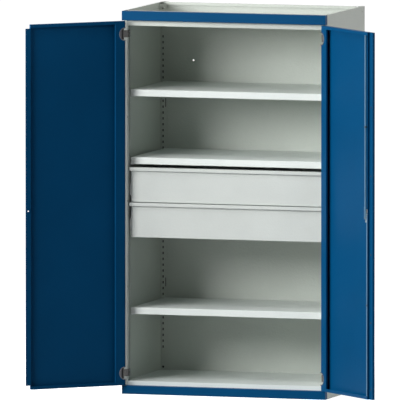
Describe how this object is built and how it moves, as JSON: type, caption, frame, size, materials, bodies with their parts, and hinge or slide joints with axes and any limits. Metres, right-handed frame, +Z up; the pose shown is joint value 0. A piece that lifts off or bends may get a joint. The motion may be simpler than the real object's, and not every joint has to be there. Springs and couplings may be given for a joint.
{
  "type": "heavy-duty storage cabinet",
  "caption": "Tall sheet-steel storage cabinet with hinged double doors, adjustable shelves, full-width drawers, an open top tray and a turn handle that drives locking rods.",
  "frame": {"origin": "on the floor, at the middle of the footprint, on the underside of the centre base rail", "axes": "+Z up, +Y from the door side to the back, +X to the right of someone facing the doors"},
  "size_m": [1.8365, 1.0845, 1.95],
  "materials": {
    "blue_paint": "satin powder coat with a fine texture",
    "grey_paint": "satin powder coat with a fine texture",
    "light_grey_paint": "satin powder coat",
    "zinc_steel": "bright zinc plating",
    "lock_zinc": "dull zinc plating",
    "cylinder_metal": "polished plating",
    "handle_plastic": "fine moulded grain",
    "guide_plastic": "smooth moulded",
    "buffer_rubber": "soft matt"
  },
  "bodies": {
    "cabinet": {"left_side_panel": "grey_paint", "right_side_panel": "grey_paint", "back_panel": "grey_paint", "roof_tray": "grey_paint", "top_front_rail": "grey_paint", "fascia": "blue_paint", "plinth": "blue_paint", "floor_pan": "grey_paint", "base_rail_centre": "grey_paint", "base_rails_side": "grey_paint", "left_rear_post": "grey_paint", "right_rear_post": "grey_paint", "left_front_post": "grey_paint", "right_front_post": "grey_paint", "tray_gussets": "grey_paint", "shelf_1": "light_grey_paint", "shelf_2": "light_grey_paint", "shelf_3": "light_grey_paint", "shelf_stiffeners": "light_grey_paint", "front_shelf_clips": "zinc_steel", "rear_shelf_clips": "zinc_steel", "slide_carriers": "zinc_steel", "drawer_1_outer_rails": "zinc_steel", "drawer_2_outer_rails": "zinc_steel", "left_hinge_arms": "zinc_steel", "right_hinge_arms": "zinc_steel", "left_hinge_pins": "zinc_steel", "right_hinge_pins": "zinc_steel", "hinge_screws": "zinc_steel"},
    "left_door": {"left_door_panel": "blue_paint", "left_hinge_cups": "zinc_steel"},
    "right_door": {"right_door_panel": "blue_paint", "right_hinge_cups": "zinc_steel", "handle_dish": "handle_plastic", "lock_case": "lock_zinc", "lock_case_screws": "zinc_steel", "rod_guides": "guide_plastic", "edge_buffers": "buffer_rubber"},
    "handle": {"turn_grip": "handle_plastic", "lock_cam": "lock_zinc"},
    "key_barrel": {"key_cylinder": "cylinder_metal"},
    "upper_rod": {"upper_rod": "lock_zinc"},
    "lower_rod": {"lower_rod": "lock_zinc"},
    "drawer_1": {"drawer_1_front": "light_grey_paint", "drawer_1_grip_strip": "light_grey_paint", "drawer_1_box": "light_grey_paint", "drawer_1_inner_rails": "zinc_steel"},
    "drawer_1_middle": {"drawer_1_middle_rails": "zinc_steel"},
    "drawer_2": {"drawer_2_front": "light_grey_paint", "drawer_2_grip_strip": "light_grey_paint", "drawer_2_box": "light_grey_paint", "drawer_2_inner_rails": "zinc_steel"},
    "drawer_2_middle": {"drawer_2_middle_rails": "zinc_steel"}
  },
  "joints": [
    {"name": "left_door_hinge", "type": "hinge", "parent": "cabinet", "child": "left_door", "pos_m": [-0.5335, -0.3365, 0.97], "axis": [0, 0, 1], "range_deg": [0, 135]},
    {"name": "right_door_hinge", "type": "hinge", "parent": "cabinet", "child": "right_door", "pos_m": [0.5335, -0.3365, 0.97], "axis": [0, 0, -1], "range_deg": [0, 135]},
    {"name": "handle_turn", "type": "hinge", "parent": "right_door", "child": "handle", "pos_m": [0.86584, -0.6745, 0.97], "axis": [0.7071, 0.7071, 0], "range_deg": [0, 90]},
    {"name": "key_turn", "type": "hinge", "parent": "handle", "child": "key_barrel", "pos_m": [0.86584, -0.6745, 0.97], "axis": [0.7071, 0.7071, 0], "range_deg": [0, 90]},
    {"name": "upper_rod_slide", "type": "slide", "parent": "right_door", "child": "upper_rod", "axis": [0, 0, 1], "range_m": [0, 0.0212]},
    {"name": "lower_rod_slide", "type": "slide", "parent": "right_door", "child": "lower_rod", "axis": [0, 0, -1], "range_m": [0, 0.0212]},
    {"name": "drawer_1_slide", "type": "slide", "parent": "cabinet", "child": "drawer_1", "axis": [0, 1, 0], "range_m": [-0.5, 0]},
    {"name": "drawer_1_middle_slide", "type": "slide", "parent": "cabinet", "child": "drawer_1_middle", "axis": [0, 1, 0], "range_m": [-0.25, 0]},
    {"name": "drawer_2_slide", "type": "slide", "parent": "cabinet", "child": "drawer_2", "axis": [0, 1, 0], "range_m": [-0.5, 0]},
    {"name": "drawer_2_middle_slide", "type": "slide", "parent": "cabinet", "child": "drawer_2_middle", "axis": [0, 1, 0], "range_m": [-0.25, 0]}
  ],
  "couplings": [
    {"joint": "handle_turn", "follows": "upper_rod_slide", "rad_per_m": 74.048},
    {"joint": "lower_rod_slide", "follows": "upper_rod_slide", "ratio": 1},
    {"joint": "drawer_1_middle_slide", "follows": "drawer_1_slide", "ratio": 0.5},
    {"joint": "drawer_2_middle_slide", "follows": "drawer_2_slide", "ratio": 0.5}
  ]
}
